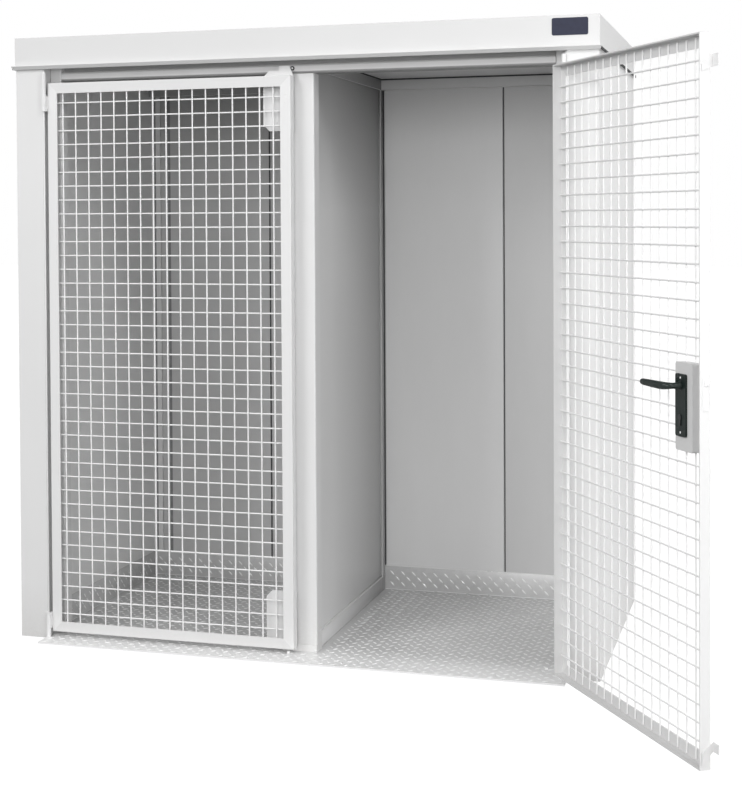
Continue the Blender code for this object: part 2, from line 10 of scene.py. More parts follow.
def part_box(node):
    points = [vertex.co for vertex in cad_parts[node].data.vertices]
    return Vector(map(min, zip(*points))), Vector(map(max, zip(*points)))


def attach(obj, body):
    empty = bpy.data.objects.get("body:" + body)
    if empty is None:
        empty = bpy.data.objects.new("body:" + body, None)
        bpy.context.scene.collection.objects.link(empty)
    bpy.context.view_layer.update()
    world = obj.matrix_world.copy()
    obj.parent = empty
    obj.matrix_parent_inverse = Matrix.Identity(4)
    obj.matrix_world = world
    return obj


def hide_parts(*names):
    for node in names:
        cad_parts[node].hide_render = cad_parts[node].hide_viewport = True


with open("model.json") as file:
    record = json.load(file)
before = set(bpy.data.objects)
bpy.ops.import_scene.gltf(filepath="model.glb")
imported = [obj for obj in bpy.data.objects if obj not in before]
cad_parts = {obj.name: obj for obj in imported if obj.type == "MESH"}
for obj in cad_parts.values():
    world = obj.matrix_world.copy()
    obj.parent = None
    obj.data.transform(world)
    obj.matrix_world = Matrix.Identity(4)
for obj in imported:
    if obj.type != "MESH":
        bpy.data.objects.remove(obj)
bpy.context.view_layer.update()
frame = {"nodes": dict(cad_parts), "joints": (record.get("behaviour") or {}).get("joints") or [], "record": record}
nodes = frame["nodes"]
joints = {joint["name"]: joint for joint in frame["joints"]}
sides = ("left", "right")
print("frame loaded,", len(nodes), "nodes")


class Signal:  # one socket of a material, which Python's signs can work on
    def __init__(self, tree, socket=None):
        self.tree = tree
        self.socket = socket

    def node(self, kind, settings=None, inputs=None, output=0):
        made = self.tree.nodes.new(kind)
        for name, value in (settings or {}).items():
            setattr(made, name, value)
        for place, value in (inputs or {}).items():
            if isinstance(value, Signal):
                self.tree.links.new(value.socket, made.inputs[place])
            else:
                made.inputs[place].default_value = value
        return Signal(self.tree, made.outputs[output])

    def maths(self, operation, first, second, clamp=False):
        settings = {"operation": operation, "use_clamp": clamp}
        return self.node("ShaderNodeMath", settings, {0: first, 1: second})

    def __add__(self, other):
        return self.maths("ADD", self, other)

    def __radd__(self, other):
        return self.maths("ADD", other, self)

    def __sub__(self, other):
        return self.maths("SUBTRACT", self, other)

    def __rsub__(self, other):
        return self.maths("SUBTRACT", other, self)

    def __mul__(self, other):
        return self.maths("MULTIPLY", self, other)

    def __rmul__(self, other):
        return self.maths("MULTIPLY", other, self)

    def held(self):  # between 0 and 1
        return self.maths("ADD", self, 0.0, clamp=True)


def noise(place, scale, detail=2.0, roughness=0.5):
    inputs = {"Vector": place, "Scale": scale, "Detail": detail, "Roughness": roughness}
    return place.node("ShaderNodeTexNoise", None, inputs)


def mixed(mask, low, high):
    return mask.node("ShaderNodeMix", {"data_type": "RGBA"}, {0: mask, 6: low, 7: high}, 2)


def grey(value, warm=0.0):
    return (value * (1 + warm), value, value * (1 - warm), 1.0)


def startFinish(name, metallic=0.0):
    made = bpy.data.materials.new(name)
    made.use_nodes = True
    shader = made.node_tree.nodes["Principled BSDF"]
    shader.inputs["Metallic"].default_value = metallic
    place = Signal(made.node_tree).node("ShaderNodeTexCoord", output="Object")
    return made, shader, place


def feed(shader, **signals):
    for name, signal in signals.items():
        signal.tree.links.new(signal.socket, shader.inputs[name.replace("_", " ")])


def heightOf(place):
    return place.node("ShaderNodeSeparateXYZ", None, {0: place}, "Z")


def depthOf(place):
    return place.node("ShaderNodeSeparateXYZ", None, {0: place}, "Y")


def bumpFrom(height, strength, distance):
    inputs = {"Strength": strength, "Distance": distance, "Height": height}
    return height.node("ShaderNodeBump", None, inputs)


powderCoat = {
    "bodyPaint": {"light": 0.76, "dark": 0.70, "rough": 0.36, "peel": 520.0, "dust": 0.10},
    # a lighter copy of the body paint for the side walls: painted light
    "litWallPaint": {"light": 0.85, "dark": 0.80, "rough": 0.40, "peel": 520.0, "dust": 0.10},
    # a darker copy of the door paint for the door rails: painted shade
    "shadedRailPaint": {"light": 0.72, "dark": 0.67, "rough": 0.36, "peel": 520.0, "dust": 0.05},
    # a darker copy of the body paint for the lid: painted shade
    "shadedLidPaint": {"light": 0.69, "dark": 0.655, "rough": 0.36, "peel": 520.0, "dust": 0.0},
    "doorPaint": {"light": 0.78, "dark": 0.73, "rough": 0.34, "peel": 520.0, "dust": 0.05},
    "wirePaint": {"light": 0.88, "dark": 0.82, "rough": 0.40, "peel": 700.0, "dust": 0.0},
    "lockPaint": {"light": 0.68, "dark": 0.63, "rough": 0.38, "peel": 600.0, "dust": 0.0},
    "hingePaint": {"light": 0.80, "dark": 0.74, "rough": 0.32, "peel": 700.0, "dust": 0.0},
}
coatGrain = {"clouds": 1.6, "contrast": 1.6, "cut": 0.3, "specks": 90.0, "cloudRough": 0.08,
             "speckRough": 0.05, "smoother": 0.06, "bump": 0.10, "bumpDeep": 0.0004}
groundDust = {"fall": 5.0, "gain": 6.0, "tone": 0.72, "warm": 0.03}


def twoTones(cloud, look):  # soft clouds of a coat's two tones
    mask = (cloud * coatGrain["contrast"] - coatGrain["cut"]).held()
    return mixed(mask, grey(look["dark"]), grey(look["light"]))


def orangePeel(place, look):  # the fine waves of powder coat
    peel = noise(place, look["peel"], 2.0, 0.6)
    return bumpFrom(peel, coatGrain["bump"], coatGrain["bumpDeep"])


def paintFinish(name, look):
    made, shader, place = startFinish(name)
    cloud = noise(place, coatGrain["clouds"], 3.0)
    speck = noise(place, coatGrain["specks"], 4.0, 0.7)
    nearGround = (1.0 - heightOf(place) * groundDust["fall"]).held()
    dust = (nearGround * speck * look["dust"] * groundDust["gain"]).held()
    dusty = grey(look["dark"] * groundDust["tone"], groundDust["warm"])
    fine = speck * coatGrain["speckRough"] + look["rough"] - coatGrain["smoother"]
    feed(shader, Base_Color=mixed(dust, twoTones(cloud, look), dusty),
         Roughness=cloud * coatGrain["cloudRough"] + fine, Normal=orangePeel(place, look))
    return made


# painted shade on the header: a dull tone in the recess above the bead and a dark tone beneath the bead
headerShade = {"clouds": 5.0, "cloudRough": 0.10, "friezeShade": 0.50, "turn": 2.046, "soft": 260.0,
               "under": 0.26, "lower": 2.0305, "sharp": 600.0}


def headerFinish(name, look, shade):  # painted shade: dull in the recess above the bead, and dark beneath it
    made, shader, place = startFinish(name)
    cloud = noise(place, shade["clouds"], 3.0)
    above = ((heightOf(place) - shade["turn"]) * shade["soft"]).held()
    shadeBelow = ((shade["lower"] - heightOf(place)) * shade["sharp"]).held()
    colour = mixed(above, twoTones(cloud, look), grey(shade["friezeShade"]))
    feed(shader, Base_Color=mixed(shadeBelow, colour, grey(shade["under"])),
         Roughness=cloud * shade["cloudRough"] + look["rough"], Normal=orangePeel(place, look))
    return made


# one lining in lit and shaded copies: rightLining is the lit one, and the others are darker by painted shade
linings = {
    "rightLining": {"light": 0.81, "dark": 0.73, "rearShade": 0.0, "topShade": 0.15},
    "shadedFarLining": {"light": 0.67, "dark": 0.60, "rearShade": 0.0, "topShade": 0.0},
    "shadedLeftLining": {"light": 0.61, "dark": 0.54, "rearShade": 0.0, "topShade": 0.30},
    "partitionLining": {"light": 0.76, "dark": 0.68, "rearShade": 0.50, "topShade": 0.45},
}
liningGrain = {"stretch": (1.0, 1.0, 0.25), "streaks": 6.0, "clouds": 1.3, "peel": 420.0,
               "streakShare": 0.7, "cloudShare": 0.9, "cut": 0.4, "rough": 0.30, "streakRough": 0.12,
               "streakBump": 2.0, "bump": 0.12, "bumpDeep": 0.0005}
# painted shade: where and how steeply the lining darkens towards the rear and the ceiling, and the tone it darkens
# to
liningShade = {"rearFrom": 0.25, "rearSlope": 1.5, "topFrom": 1.55, "topSlope": 2.2, "tone": 0.12}


def liningFinish(name, look):  # sheet steel with painted shade that darkens it towards the rear and the ceiling
    made, shader, place = startFinish(name)
    grain, paintedShade = liningGrain, liningShade
    stretched = place.node("ShaderNodeMapping", None, {"Vector": place, "Scale": grain["stretch"]})
    streak = noise(stretched, grain["streaks"], 4.0, 0.6)
    cloud = noise(place, grain["clouds"], 3.0)
    peel = noise(place, grain["peel"], 2.0, 0.6)
    mask = (streak * grain["streakShare"] + cloud * grain["cloudShare"] - grain["cut"]).held()
    colour = mixed(mask, grey(look["dark"]), grey(look["light"]))
    # painted shade towards the rear and towards the ceiling
    rear = ((depthOf(place) + paintedShade["rearFrom"]) * paintedShade["rearSlope"]).held() * look["rearShade"]
    top = ((heightOf(place) - paintedShade["topFrom"]) * paintedShade["topSlope"]).held() * look["topShade"]
    feed(shader, Base_Color=mixed((rear + top).held(), colour, grey(paintedShade["tone"])),
         Roughness=streak * grain["streakRough"] + grain["rough"],
         Normal=bumpFrom(peel + streak * grain["streakBump"], grain["bump"], grain["bumpDeep"]))
    return made


# front is a lighter tone towards the front edge: painted light; worn is the real wear on the plate's top
treads = {
    "tread": {"light": 0.70, "dark": 0.55, "worn": 0.84, "front": 0.86, "metallic": 0.15, "rough": 0.26},
    "tears": {"light": 0.94, "dark": 0.86, "worn": 0.94, "front": 0.94, "metallic": 0.25, "rough": 0.20},
}
treadGrain = {"spangles": 70.0, "clouds": 3.0, "scuffs": 260.0, "flakeShare": 0.25, "cloudShare": 1.1,
              "cut": 0.15, "cloudRough": 0.18, "bump": 0.15, "bumpDeep": 0.0004}
treadWearAndLight = {"litFrontFrom": -0.40, "litFrontSlope": 7.0, "topFrom": 0.0068, "topSlope": 1500.0,
             "topEnd": 0.0085, "endSlope": 900.0, "share": 0.8}


def treadFinish(name, look):  # spangled plate, lighter towards the front by painted light, and lighter where feet wear it
    made, shader, place = startFinish(name, look["metallic"])
    grain, wear = treadGrain, treadWearAndLight
    cells = {"Vector": place, "Scale": grain["spangles"]}
    spangle = place.node("ShaderNodeTexVoronoi", {"feature": "F1"}, cells, 1)
    flake = spangle.node("ShaderNodeSeparateColor", None, {0: spangle})
    cloud = noise(place, grain["clouds"], 5.0, 0.6)
    scuff = noise(place, grain["scuffs"], 3.0, 0.7)
    mask = (flake * grain["flakeShare"] + cloud * grain["cloudShare"] - grain["cut"]).held()
    # painted light: lighter towards the front edge
    front = ((wear["litFrontFrom"] - depthOf(place)) * wear["litFrontSlope"]).held()
    above = ((heightOf(place) - wear["topFrom"]) * wear["topSlope"]).held()
    past = (heightOf(place) - wear["topEnd"]).held() * wear["endSlope"]
    colour = mixed(mask, grey(look["dark"]), grey(look["light"]))
    colour = mixed(front, colour, grey(look["front"]))
    colour = mixed(above * (1.0 - past).held() * wear["share"], colour, grey(look["worn"]))
    feed(shader, Base_Color=colour, Roughness=cloud * grain["cloudRough"] + look["rough"],
         Normal=bumpFrom(scuff, grain["bump"], grain["bumpDeep"]))
    return made


moulded = {"colour": (0.005, 0.010, 0.009, 1.0), "worn": (0.010, 0.018, 0.016, 1.0), "specular": 0.28,
           "grain": 1400.0, "clouds": 25.0, "rough": 0.22, "cloudRough": 0.15, "bump": 0.12,
           "bumpDeep": 0.0003}


def mouldedFinish(name, look):
    made, shader, place = startFinish(name)
    shader.inputs["Specular IOR Level"].default_value = look["specular"]
    cloud = noise(place, look["clouds"], 3.0)
    grain = noise(place, look["grain"], 2.0, 0.6)
    feed(shader, Base_Color=mixed(cloud, look["colour"], look["worn"]),
         Roughness=cloud * look["cloudRough"] + look["rough"],
         Normal=bumpFrom(grain, look["bump"], look["bumpDeep"]))
    return made


darkPieces = {
    "keyhole": {"colour": (0.010, 0.012, 0.012), "rough": 0.30, "specular": 0.50},
    "slate": {"colour": (0.022, 0.024, 0.042), "rough": 0.45, "specular": 0.20},
    "seam": {"colour": (0.200, 0.204, 0.206), "rough": 0.60, "specular": 0.30},
    # dark joints, and painted shadow in corners, under the lid's side bands and round the header stud
    "gapAndShadow": {"colour": (0.050, 0.051, 0.052), "rough": 0.70, "specular": 0.10},
}
darkGrain = {"clouds": 60.0, "lighter": 1.6, "cloudRough": 0.15, "grain": 900.0, "bump": 0.08,
             "bumpDeep": 0.0003}


def darkFinish(name, look):
    made, shader, place = startFinish(name)
    shader.inputs["Specular IOR Level"].default_value = look["specular"]
    cloud = noise(place, darkGrain["clouds"], 3.0)
    lighter = tuple(darkGrain["lighter"] * channel for channel in look["colour"])
    feed(shader, Base_Color=mixed(cloud, (*look["colour"], 1.0), (*lighter, 1.0)),
         Roughness=cloud * darkGrain["cloudRough"] + look["rough"],
         Normal=bumpFrom(noise(place, darkGrain["grain"]), darkGrain["bump"], darkGrain["bumpDeep"]))
    return made


zinc = {"light": 0.78, "dark": 0.62, "metallic": 0.6, "clouds": 140.0, "rough": 0.22, "cloudRough": 0.2,
        "grain": 800.0, "bump": 0.1, "bumpDeep": 0.0003}


def zincFinish(name, look):
    made, shader, place = startFinish(name, look["metallic"])
    cloud = noise(place, look["clouds"], 4.0)
    feed(shader, Base_Color=mixed(cloud, grey(look["dark"]), grey(look["light"])),
         Roughness=cloud * look["cloudRough"] + look["rough"],
         Normal=bumpFrom(noise(place, look["grain"]), look["bump"], look["bumpDeep"]))
    return made


finishes = {name: paintFinish(name, look) for name, look in powderCoat.items()}
finishes["header"] = headerFinish("header", powderCoat["bodyPaint"], headerShade)
finishes |= {name: liningFinish(name, look) for name, look in linings.items()}
finishes |= {name: treadFinish(name, look) for name, look in treads.items()}
finishes["handle"] = mouldedFinish("handle", moulded)
finishes |= {name: darkFinish(name, look) for name, look in darkPieces.items()}
finishes["zinc"] = zincFinish("zinc", zinc)
print("finishes made")

slotFinish = {"outer_paint": "bodyPaint", "wall_lining": "rightLining", "tear_plate": "tread",
              "mesh_paint": "wirePaint", "hinge_steel": "hingePaint", "lock_steel": "lockPaint",
              "handle_plastic": "handle"}
# the side walls take the lighter copy of the body paint: painted light
nodeFinish = {"left_side_wall": "litWallPaint", "right_side_wall": "litWallPaint", "header": "header",
              # back panels 1, 2 and 4, the left rear rail and the left skirt take darker copies of the lining:
              # painted shade
              "back_panel_1": "shadedLeftLining", "back_panel_2": "shadedLeftLining", "back_panel_4": "shadedFarLining",
              "left_rear_top_rail": "shadedLeftLining", "partition_left_skirt": "shadedLeftLining",
              "lock_cylinder": "keyhole"}


def finishOf(name, slot):
    if name in nodeFinish:
        return nodeFinish[name]
    if name.startswith("partition"):
        return "partitionLining"
    if slot == "outer_paint" and "_door_" in name:
        # the rails take the darker copy of the door paint: painted shade
        return "shadedRailPaint" if name.endswith("_rail") else "doorPaint"
    return slotFinish[slot]


for part in frame["record"]["subparts"]:
    painted = nodes[part["node"]].data.materials
    painted.clear()
    painted.append(finishes[finishOf(part["node"], part["material_slot"])])


def keep(name, bm, finish, body, replaced=(), smooth=35.0):
    mesh = bpy.data.meshes.new(name)
    bm.to_mesh(mesh)
    bm.free()
    mesh.shade_smooth()
    mesh.set_sharp_from_angle(angle=math.radians(smooth))
    mesh.materials.append(finishes[finish])
    made = bpy.data.objects.new(name, mesh)
    bpy.context.scene.collection.objects.link(made)
    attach(made, body)
    if replaced:
        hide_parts(*replaced)


# Doors are dressed in their own places: u from the hinge edge, d back from the face, z up
leafHang = {"edge": 0.009, "face": 0.0115}
doorPlace = {}
for side, way in (("left", 1), ("right", -1)):
    joint = joints[f"{side}_door_swing"]
    turn = math.radians(-joint["range_deg"][0]) if side == "right" else 0.0
    doorPlace[side] = (Matrix.Translation(joint["pos_m"]) @ Matrix.Rotation(turn, 4, "Z")
                       @ Matrix.Diagonal((way, 1, 1, 1))
                       @ Matrix.Translation((leafHang["edge"], leafHang["face"], 0)))


def leafBox(node, side):
    back = doorPlace[side].inverted()
    spots = [back @ vert.co for vert in nodes[node].data.vertices]
    low = Vector([min(spot[axis] for spot in spots) for axis in range(3)])
    high = Vector([max(spot[axis] for spot in spots) for axis in range(3)])
    return low, high


def hang(bm, side):
    bmesh.ops.transform(bm, matrix=doorPlace[side], verts=bm.verts)
    if side == "right":
        bmesh.ops.reverse_faces(bm, faces=bm.faces)


def rod(bm, start, end, radius, segments=10):
    start, end = Vector(start), Vector(end)
    along = end - start
    turn = along.to_track_quat("Z", "Y").to_matrix().to_4x4()
    shape = Matrix.Translation((start + end) / 2) @ turn
    bmesh.ops.create_cone(bm, cap_ends=True, segments=segments, radius1=radius, radius2=radius,
                          depth=along.length, matrix=shape)


def dome(bm, spot, radius, height, axis=(0, 0, 1)):
    turn = Vector(axis).to_track_quat("Z", "Y").to_matrix().to_4x4()
    shape = Matrix.Translation(spot) @ turn @ Matrix.Diagonal((radius, radius, height, 1))
    bmesh.ops.create_uvsphere(bm, u_segments=12, v_segments=8, radius=1.0, matrix=shape)


def rounded(bm, edges, width, segments):
    bmesh.ops.bevel(bm, geom=list(edges), offset=width, offset_type="OFFSET", segments=segments,
                    profile=0.5, affect="EDGES", material=-1)


def block(bm, low, high, bevel=0.0, segments=2):
    low, high = Vector(low), Vector(high)
    shape = Matrix.Translation((low + high) / 2) @ Matrix.Diagonal((*(high - low), 1))
    made = bmesh.ops.create_cube(bm, size=1.0, matrix=shape)["verts"]
    if bevel:
        rounded(bm, {edge for vert in made for edge in vert.link_edges}, bevel, segments)


def mirroredSpan(way, start, end):  # the same stretch of x on the left or on the right
    return sorted((way * start, way * end))


wireGrid = {"radius": 0.0026, "pitch": 0.05, "firstIn": 0.058, "firstUp": 0.066, "overlap": 0.0007}


def meshWires(side):  # upright wires in front, level wires behind, both cut short at the lock box
    low, high = leafBox(f"{side}_door_mesh", side)
    stile = leafBox(f"{side}_door_free_stile", side)[0].x
    foot = leafBox(f"{side}_door_bottom_rail", side)[0].z
    head = leafBox(f"{side}_door_top_rail", side)[0].z
    radius, pitch = wireGrid["radius"], wireGrid["pitch"]
    front = low.y + radius
    back = front + 2 * radius - wireGrid["overlap"]
    lock = leafBox("lock_box", side) if side == "right" else None
    bm = bmesh.new()
    u = wireGrid["firstIn"]
    while u < stile:
        spans = [(low.z, high.z)]
        if lock and u > lock[0].x - radius:
            spans = [(low.z, lock[0].z), (lock[1].z, high.z)]
        for bottom, top in spans:
            rod(bm, (u, front, bottom), (u, front, top), radius)
        u += pitch
    z = foot + wireGrid["firstUp"]
    while z < head:
        end = high.x
        if lock and lock[0].z - radius < z < lock[1].z + radius:
            end = lock[0].x
        rod(bm, (low.x, back, z), (end, back, z), radius)
        z += pitch
    hang(bm, side)
    keep(f"{side}DoorWires", bm, "wirePaint", f"{side}_door", (f"{side}_door_mesh",))


for side in sides:
    meshWires(side)
print("welded wire made")

tearPlate = {"pitch": 0.045, "length": 0.026, "width": 0.0066, "height": 0.0022, "sunk": 0.0003,
             "floorHalf": 0.9225, "floorIn": 0.015, "kickIn": 0.030, "kickUp": 0.024, "kickDown": 0.014,
             "lean": 45}
floorEdges = {"lipFront": -0.515, "lipHalf": 0.930, "lip": -0.500, "lipRearHalf": 0.880,
              "doorway": -0.415, "doorwaySpan": (0.080, 0.885), "baySpan": (0.078, 0.935)}
kickShape = {"sheet": 0.003, "top": 0.104, "round": 0.0008, "bead": 0.0015, "foot": 0.0085, "in": 0.004}


def tearShape():
    bm = bmesh.new()
    bmesh.ops.create_uvsphere(bm, u_segments=8, v_segments=4, radius=1.0)
    bmesh.ops.bisect_plane(bm, geom=bm.verts[:] + bm.edges[:] + bm.faces[:], plane_co=(0, 0, 0),
                           plane_no=(0, 0, 1), clear_inner=True, dist=0.0001)
    bmesh.ops.holes_fill(bm, edges=[edge for edge in bm.edges if edge.is_boundary], sides=0)
    tall = tearPlate["height"] + tearPlate["sunk"]
    size = (tearPlate["length"] / 2, tearPlate["width"] / 2, tall, 1)
    bmesh.ops.transform(bm, matrix=Matrix.Diagonal(size), verts=bm.verts)
    mesh = bpy.data.meshes.new("tear")
    bm.to_mesh(mesh)
    bm.free()
    return mesh


def tearField(bm, tear, start, across, up, width, height, allowed=None, lean=None):
    start, across, up = Vector(start), Vector(across), Vector(up)
    away = across.cross(up)
    pitch = tearPlate["pitch"]
    half = pitch / 2
    for row in range(int(height / half) + 1):
        for column in range(int(width / pitch) + 1):
            right = column * pitch + (half if row % 2 else 0.0)
            rise = row * half
            if right > width or rise > height:
                continue
            spot = start + across * right + up * rise - away * tearPlate["sunk"]
            if allowed and not allowed(spot):
                continue
            slant = math.radians(lean or (-tearPlate["lean"] if row % 2 else tearPlate["lean"]))
            long = across * math.cos(slant) + up * math.sin(slant)
            turn = Matrix((long, away.cross(long), away)).transposed().to_4x4()
            copy = tear.copy()
            copy.transform(Matrix.Translation(spot) @ turn)
            bm.from_mesh(copy)
            bpy.data.meshes.remove(copy)


def onFloor(spot):  # clear of the posts, the mullion and the partition
    x, y = abs(spot.x), spot.y
    if y < floorEdges["lip"]:
        return x < floorEdges["lipHalf"] and y < floorEdges["lipFront"] or x < floorEdges["lipRearHalf"]
    inner, outer = floorEdges["doorwaySpan" if y < floorEdges["doorway"] else "baySpan"]
    return inner < x < outer


def floorTears(tear):
    low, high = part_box("floor_plate")
    half, margin = tearPlate["floorHalf"], tearPlate["floorIn"]
    bm = bmesh.new()
    tearField(bm, tear, (-half, low.y + margin, high.z), (1, 0, 0), (0, 1, 0), 2 * half,
              high.y - low.y - 2 * margin, onFloor)
    keep("floorTears", bm, "tears", "container")


def kickPlates(tear, side):  # upturned along the rear and the outer wall, with all tears one way
    low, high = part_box(f"{side}_kick_plate")
    sheet, top, margin = kickShape["sheet"], kickShape["top"], tearPlate["kickIn"]
    bottom = low.z + tearPlate["kickUp"]
    run = top - bottom - tearPlate["kickDown"]
    long, deep = high.x - low.x - 2 * margin, high.y - low.y - 2 * margin
    start, along = (low.x + sheet, low.y + margin, bottom), (0, 1, 0)
    wall = (low.x, low.x + sheet)
    if side == "right":
        start, along = (high.x - sheet, high.y - margin, bottom), (0, -1, 0)
        wall = (high.x - sheet, high.x)
    lean = -tearPlate["lean"]
    bm = bmesh.new()
    tearField(bm, tear, (low.x + margin, high.y - sheet, bottom), (1, 0, 0), (0, 0, 1), long, run,
              lean=lean)
    tearField(bm, tear, start, along, (0, 0, 1), deep, run, lean=lean)
    keep(f"{side}KickTears", bm, "tears", "container")
    bm = bmesh.new()
    block(bm, (low.x, high.y - sheet, low.z), (high.x, high.y, top), kickShape["round"])
    block(bm, (wall[0], low.y, low.z), (wall[1], high.y - sheet, top), kickShape["round"])
    keep(f"{side}KickSheets", bm, "tread", "container", (f"{side}_kick_plate",))


tearMesh = tearShape()
floorTears(tearMesh)
for side in sides:
    kickPlates(tearMesh, side)
bpy.data.meshes.remove(tearMesh)
print("tear pattern made")

lidTrim = {"sheet": 0.0025, "lip": 0.018, "lipSide": 0.007, "lipTop": 2.075, "slant": (0.004, 0.009),
           "edge": 0.0010, "bead": 0.0018, "sharp": 20.0}
blankPlate = {"low": (0.8970, 2.1110), "high": (1.0155, 2.1680), "thick": 0.0012, "off": 0.0001,
              "corner": 0.006}


def lidShell():  # the fascia, and under it the turned-out lip whose face slants inwards
    low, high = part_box("roof_lid")
    outX, outY, top, bottom = high.x, high.y, high.z, low.z
    sheet, lipTop, edge = lidTrim["sheet"], lidTrim["lipTop"], lidTrim["edge"]
    slantX, slantY = lidTrim["slant"]
    wallX, wallY = outX - lidTrim["lipSide"], outY - lidTrim["lip"]
    stations = [(wallX - sheet, wallY - sheet, top - sheet), (wallX - sheet, wallY - sheet, bottom),
                (outX - slantX, outY - slantY, bottom), (outX, outY, lipTop - 2 * edge),
                (outX - edge, outY - edge, lipTop), (wallX, wallY, lipTop),
                (wallX, wallY, top - edge), (wallX - edge, wallY - edge, top)]
    bm = bmesh.new()
    corners = [(-1, -1), (1, -1), (1, 1), (-1, 1)]
    halfX, halfY, z = stations[0]
    bm.faces.new([bm.verts.new((wayX * halfX, wayY * halfY, z)) for wayX, wayY in corners])
    edges = bm.edges[:]
    for halfX, halfY, z in stations[1:]:
        grown = bmesh.ops.extrude_edge_only(bm, edges=edges)["geom"]
        edges = [item for item in grown if isinstance(item, bmesh.types.BMEdge)]
        for vert in [item for item in grown if isinstance(item, bmesh.types.BMVert)]:
            vert.co = (math.copysign(halfX, vert.co.x), math.copysign(halfY, vert.co.y), z)
    bmesh.ops.contextual_create(bm, geom=edges)
    bmesh.ops.recalc_face_normals(bm, faces=bm.faces)
    # the lid takes the darker copy of the body paint: painted shade
    keep("lidShell", bm, "shadedLidPaint", "container", ("roof_lid",), lidTrim["sharp"])


def lidPieces():  # the bead in the corner above the lip, and the bare plate on the front
    low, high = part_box("roof_lid")
    lipTop, bead = lidTrim["lipTop"], lidTrim["bead"]
    left, right = low.x + lidTrim["lipSide"], high.x - lidTrim["lipSide"]
    front, rear = low.y + lidTrim["lip"], high.y - lidTrim["lip"]
    ring = [(left, front), (right, front), (right, rear), (left, rear)]
    bm = bmesh.new()
    for (x, y), (endX, endY) in zip(ring, ring[1:] + ring[:1]):
        rod(bm, (x, y, lipTop), (endX, endY, lipTop), bead, 12)
        dome(bm, (x, y, lipTop), bead, bead)
    keep("lidBead", bm, "hingePaint", "container")
    x0, z0 = blankPlate["low"]
    x1, z1 = blankPlate["high"]
    thick = blankPlate["thick"]
    bm = bmesh.new()
    block(bm, (x0, front - thick, z0), (x1, front - blankPlate["off"], z1))
    corners = [edge for edge in bm.edges if abs(edge.verts[0].co.y - edge.verts[1].co.y) > thick / 2]
    rounded(bm, corners, blankPlate["corner"], 5)
    keep("blankPlate", bm, "slate", "container")


lidShell()
lidPieces()

postEdge = {"wide": 0.0055, "lap": 0.001, "front": 0.0015, "deep": 0.0045, "bottom": 0.010, "top": 2.060,
            "round": 0.0012}


def postReturns():  # the narrow turned edges of the front posts beside the doors
    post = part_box("right_front_post")[0]
    front, bottom, top = post.y + postEdge["front"], postEdge["bottom"], postEdge["top"]
    bm = bmesh.new()
    for way in (-1, 1):
        start, end = mirroredSpan(way, post.x - postEdge["wide"], post.x + postEdge["lap"])
        block(bm, (start, front, bottom), (end, front + postEdge["deep"], top), postEdge["round"])
    keep("postReturns", bm, "bodyPaint", "container")


partitionEdge = {"bead": 0.0015, "skirtTop": 0.0680, "round": 0.0015, "back": 0.002, "turn": 0.004,
                 "down": 0.003, "up": 0.001, "skirtBead": 1.5, "ceilingBead": 0.7, "rearBead": 0.8}


def partitionTrim():  # plain skirts, and beads round the panels of the partition and the rear wall
    stile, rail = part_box("partition_rear_stile")[0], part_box("partition_top_rail")[0]
    trim, bead = partitionEdge, partitionEdge["bead"]
    top, rear, ceiling = trim["skirtTop"], stile.y + trim["back"], rail.z + trim["up"]
    beadTop = top - trim["down"]
    beads = bmesh.new()
    # the skirts take the darker copies of the lining, which carry painted shade
    for side, way, finish in (("left", -1, "shadedLeftLining"), ("right", 1, "partitionLining")):
        low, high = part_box(f"partition_{side}_skirt")
        inner, outer = (way * x for x in sorted((abs(low.x), abs(high.x))))
        start, end = sorted((inner, outer))
        bm = bmesh.new()
        block(bm, (start, low.y, low.z), (end, high.y, top), trim["round"])
        keep(f"{side}SkirtSheet", bm, finish, "container", (f"partition_{side}_skirt",))
        corner = (outer, low.y + trim["turn"], beadTop)
        rod(beads, (outer, low.y + trim["back"], low.z), corner, bead)
        rod(beads, corner, (outer, rear, beadTop), bead * trim["skirtBead"])
        rod(beads, (outer, rear, beadTop), (outer, rear, rail.z), bead)
        rod(beads, (outer, rail.y, ceiling), (outer, stile.y, ceiling), bead * trim["ceilingBead"])
    for side in sides:
        low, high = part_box(f"{side}_rear_top_rail")
        z = low.z + trim["up"]
        rod(beads, (low.x, low.y, z), (high.x, low.y, z), bead * trim["rearBead"])
    keep("panelBeads", beads, "lockPaint", "container")


def kickBeads():  # the light lines along the head and the foot of the rear kick plates
    bm = bmesh.new()
    for side in sides:
        low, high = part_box(f"{side}_kick_plate")
        face = high.y - kickShape["sheet"]
        left, right = low.x + kickShape["in"], high.x - kickShape["in"]
        for z in (kickShape["top"], kickShape["foot"]):
            rod(bm, (left, face, z), (right, face, z), kickShape["bead"])
    keep("kickBeads", bm, "tears", "container")


# gaps are dark joints of the back panels; the stile and ceiling strips are painted shade in the corners
wallLines = {"seams": [(-0.9472, -0.9404), (-0.8854, -0.8740)],
             "gaps": [(0.5495, 0.5535), (-0.4330, -0.4290)],
             "proud": 0.0004, "sunk": 0.001, "above": 0.001, "lap": 0.0005, "stileWide": 0.0035,
             "stileProud": 0.0025, "ceilingWide": 0.004, "ceilingDeep": 0.004, "ceilingEnd": 0.026,
             "rearDeep": 0.005}


